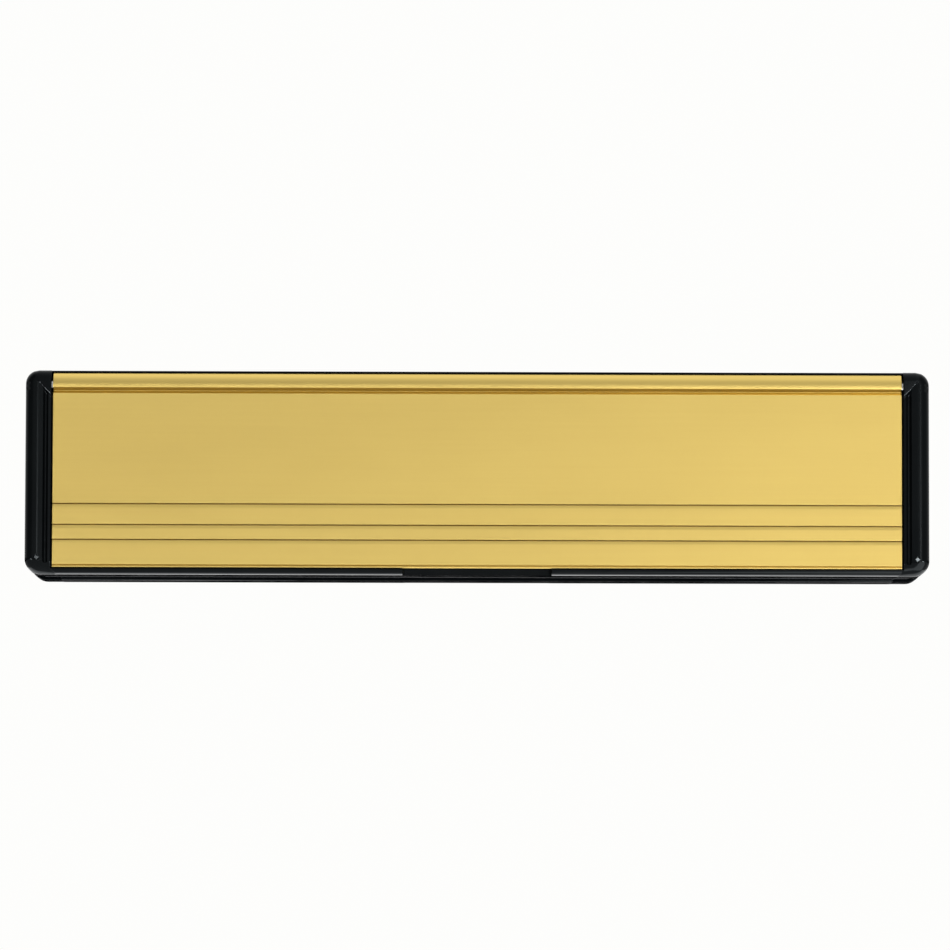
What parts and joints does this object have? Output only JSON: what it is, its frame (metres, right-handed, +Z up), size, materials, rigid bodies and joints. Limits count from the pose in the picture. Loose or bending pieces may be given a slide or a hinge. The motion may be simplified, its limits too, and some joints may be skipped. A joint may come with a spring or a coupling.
{
  "type": "letter plate",
  "caption": "Telescopic door letter plate with sprung outer and inner flaps, joined by sliding sleeves through the door.",
  "frame": {"origin": "centre of the outer unit's gasket face, which seats on the outside of the door", "axes": "+X along the plate to the right as seen from outside, +Y through the door to the inside, +Z up"},
  "size_m": [0.305, 0.049, 0.069],
  "materials": {
    "gold_anodised": "satin gold anodised",
    "black_gloss": "gloss black ABS",
    "black_moulding": "satin black moulding",
    "foam": "closed-cell foam",
    "stainless": "drawn stainless",
    "spring_steel": "drawn spring wire",
    "zinc_steel": "bright zinc plated",
    "brass": "turned brass",
    "pile": "woven pile weatherstrip",
    "nylon": "natural nylon",
    "seal_rubber": "EPDM seal"
  },
  "bodies": {
    "outer_unit": {"outer_chassis": "black_moulding", "outer_end_block_left": "black_gloss", "outer_end_block_right": "black_gloss", "outer_top_rail": "black_gloss", "outer_bottom_rail": "black_gloss", "outer_sleeve": "black_moulding", "outer_gasket": "foam", "outer_hinge_rod": "stainless", "outer_rod_plugs": "black_gloss", "outer_springs": "spring_steel", "outer_pile_seal": "pile", "outer_frame_screws": "zinc_steel", "threaded_inserts": "brass"},
    "outer_flap": {"outer_flap": "gold_anodised", "outer_flap_bushes": "nylon", "outer_flap_seal": "seal_rubber"},
    "inner_unit": {"inner_chassis": "black_moulding", "inner_end_block_left": "black_gloss", "inner_end_block_right": "black_gloss", "inner_top_rail": "black_gloss", "inner_bottom_rail": "black_gloss", "inner_sleeve": "black_moulding", "inner_gasket": "foam", "inner_hinge_rod": "stainless", "inner_rod_plugs": "black_gloss", "inner_springs": "spring_steel", "inner_pile_seal": "pile", "inner_frame_screws": "zinc_steel", "fixing_screws": "zinc_steel", "fixing_washers": "zinc_steel"},
    "inner_flap": {"inner_flap": "gold_anodised", "inner_flap_bushes": "nylon", "inner_flap_seal": "seal_rubber"}
  },
  "joints": [
    {"name": "outer_flap_hinge", "type": "hinge", "parent": "outer_unit", "child": "outer_flap", "pos_m": [0, -0.0102, 0.02965], "axis": [-1, 0, 0], "range_deg": [0, 80], "stiffness_Nm_per_rad": 0.03, "springref_deg": -28.65},
    {"name": "telescope", "type": "slide", "parent": "outer_unit", "child": "inner_unit", "axis": [0, 1, 0], "range_m": [0, 0.02]},
    {"name": "inner_flap_hinge", "type": "hinge", "parent": "inner_unit", "child": "inner_flap", "pos_m": [0, 0.0302, 0.02965], "axis": [1, 0, 0], "range_deg": [0, 80], "stiffness_Nm_per_rad": 0.03, "springref_deg": -28.65}
  ]
}
